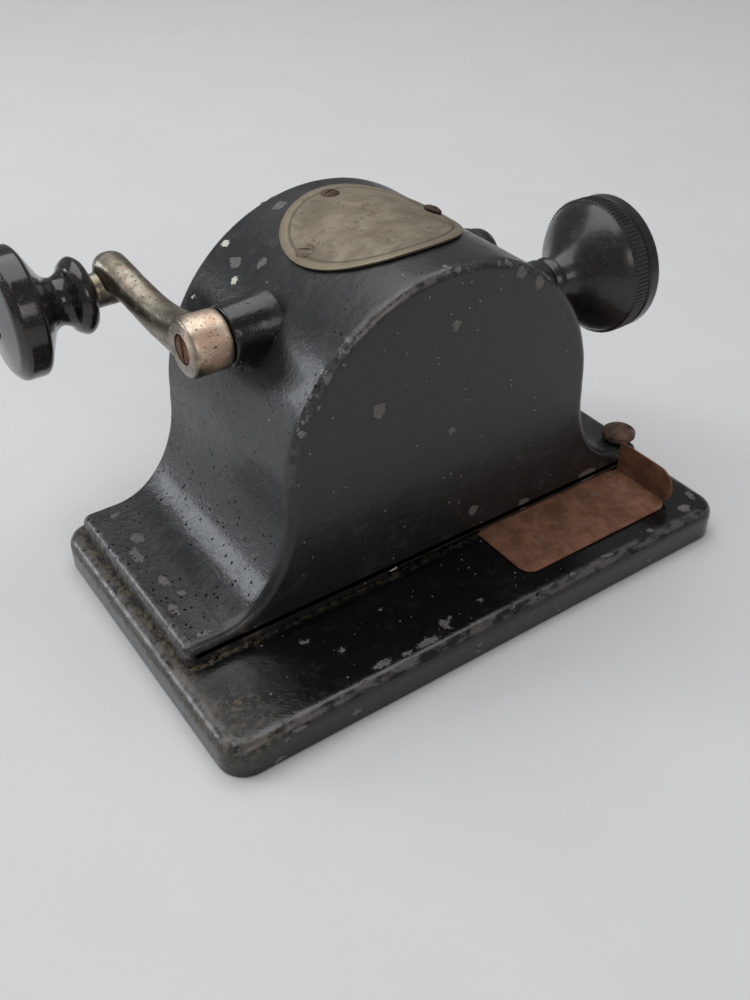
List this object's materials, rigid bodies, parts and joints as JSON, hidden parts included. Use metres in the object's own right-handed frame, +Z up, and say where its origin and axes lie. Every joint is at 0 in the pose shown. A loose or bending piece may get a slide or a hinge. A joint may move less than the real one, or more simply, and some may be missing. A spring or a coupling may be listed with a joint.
{
  "type": "key duplicating machine",
  "caption": "Bench-top hand-crank key duplicating machine: arched cast housing on a flat base, crank-driven cutter, feed knob, twin key vises, tracer pin and chip tray.",
  "frame": {"origin": "centre of the base plate's underside", "axes": "+Z up, X along the base with the crank on the -X side, +Y towards the open working side, -Y towards the closed back wall"},
  "size_m": [0.2079, 0.148, 0.121],
  "materials": {
    "black_enamel": "black japanned cast iron, glossy to satin, chipped to grey iron along its edges",
    "aged_nickel": "old nickel plate, warm grey, worn and pitted",
    "bakelite": "black phenolic, polished",
    "tarnished_brass": "blank tarnished brass plate with a bevelled rim",
    "rusty_sheet": "thin sheet steel under an even brown rust",
    "brown_steel": "steel screw heads under brown rust",
    "bronze": "turned bearing bronze",
    "machined_steel": "turned bright steel with an oil film",
    "tool_steel": "ground tool steel",
    "spring_steel": "oil-dark spring wire"
  },
  "bodies": {
    "base": {"base_plate": "black_enamel", "housing": "black_enamel", "nameplate": "tarnished_brass", "nameplate_screw_left": "brown_steel", "nameplate_screw_top": "brown_steel", "nameplate_screw_right": "brown_steel", "holddown_screw_near": "brown_steel", "holddown_screw_far": "brown_steel", "frame_screw_near": "machined_steel", "frame_screw_far": "machined_steel", "crank_bushing": "bronze", "spindle_bushing_left": "bronze", "spindle_bushing_right": "bronze", "feed_bushing_right": "bronze", "feed_bushing_left": "bronze", "spindle_cap": "black_enamel", "idler_stud": "machined_steel", "guide_rod": "machined_steel", "tracer_bracket": "black_enamel", "tracer_pin": "tool_steel", "tracer_set_screw": "machined_steel", "bracket_screw_lower": "machined_steel", "bracket_screw_upper": "machined_steel"},
    "crank": {"crank_shaft": "machined_steel", "crank_arm": "aged_nickel", "crank_hub_screw": "brown_steel", "crank_gear": "machined_steel", "handle_pin": "machined_steel"},
    "crank_handle": {"crank_handle": "bakelite"},
    "idler": {"idler_gear": "bronze", "idler_pinion": "machined_steel"},
    "spindle": {"cutter_spindle": "machined_steel", "spindle_pinion": "machined_steel", "cutter_wheel": "tool_steel", "cutter_washer": "machined_steel", "cutter_nut": "machined_steel"},
    "feed": {"feed_screw": "machined_steel", "feed_knob": "bakelite", "feed_knob_screw": "machined_steel"},
    "carriage": {"carriage": "black_enamel", "feed_nut": "bronze", "lift_spring": "spring_steel"},
    "vise_table": {"vise_table": "black_enamel"},
    "pattern_jaw": {"pattern_jaw": "tool_steel"},
    "blank_jaw": {"blank_jaw": "tool_steel"},
    "pattern_clamp": {"pattern_clamp_screw": "aged_nickel"},
    "blank_clamp": {"blank_clamp_screw": "aged_nickel"},
    "tray": {"chip_tray": "rusty_sheet"}
  },
  "joints": [
    {"name": "crank_turn", "type": "hinge", "parent": "base", "child": "crank", "pos_m": [-0.055, 0.0141, 0.096], "axis": [1, 0, 0], "continuous": true},
    {"name": "handle_spin", "type": "hinge", "parent": "crank", "child": "crank_handle", "pos_m": [-0.0686, 0.0651, 0.0952], "axis": [1, 0, 0], "continuous": true},
    {"name": "idler_spin", "type": "hinge", "parent": "base", "child": "idler", "pos_m": [-0.0135, 0.01793, 0.0821], "axis": [1, 0, 0], "continuous": true},
    {"name": "spindle_spin", "type": "hinge", "parent": "base", "child": "spindle", "pos_m": [0.035, 0.0354, 0.0844], "axis": [1, 0, 0], "continuous": true},
    {"name": "feed_turn", "type": "hinge", "parent": "base", "child": "feed", "pos_m": [0.0579, -0.002, 0.088], "axis": [1, 0, 0], "range_deg": [-1140, 1140]},
    {"name": "carriage_feed", "type": "slide", "parent": "base", "child": "carriage", "axis": [1, 0, 0], "range_m": [-0.0126, 0.0126]},
    {"name": "table_rock", "type": "hinge", "parent": "carriage", "child": "vise_table", "pos_m": [0.013, -0.002, 0.048], "axis": [1, 0, 0], "range_deg": [-5.5, 0.5], "deforming": ["lift_spring"]},
    {"name": "pattern_clamp_turn", "type": "hinge", "parent": "vise_table", "child": "pattern_clamp", "pos_m": [-0.009, 0.055, 0.057], "axis": [0, 1, 0], "range_deg": [-745, 1105]},
    {"name": "pattern_jaw_slide", "type": "slide", "parent": "vise_table", "child": "pattern_jaw", "axis": [0, 1, 0], "range_m": [-0.00205, 0.00305]},
    {"name": "blank_clamp_turn", "type": "hinge", "parent": "vise_table", "child": "blank_clamp", "pos_m": [0.035, 0.055, 0.057], "axis": [0, 1, 0], "range_deg": [-745, 1105]},
    {"name": "blank_jaw_slide", "type": "slide", "parent": "vise_table", "child": "blank_jaw", "axis": [0, 1, 0], "range_m": [-0.00205, 0.00305]},
    {"name": "tray_slide", "type": "slide", "parent": "base", "child": "tray", "axis": [1, 0, 0], "range_m": [-0.037, 0.055]}
  ],
  "couplings": [
    {"joint": "idler_spin", "follows": "crank_turn", "ratio": -2},
    {"joint": "spindle_spin", "follows": "crank_turn", "ratio": 5.3333},
    {"joint": "feed_turn", "follows": "carriage_feed", "rad_per_m": 1570.8},
    {"joint": "pattern_clamp_turn", "follows": "pattern_jaw_slide", "rad_per_m": 6283.2},
    {"joint": "blank_clamp_turn", "follows": "blank_jaw_slide", "rad_per_m": 6283.2}
  ]
}
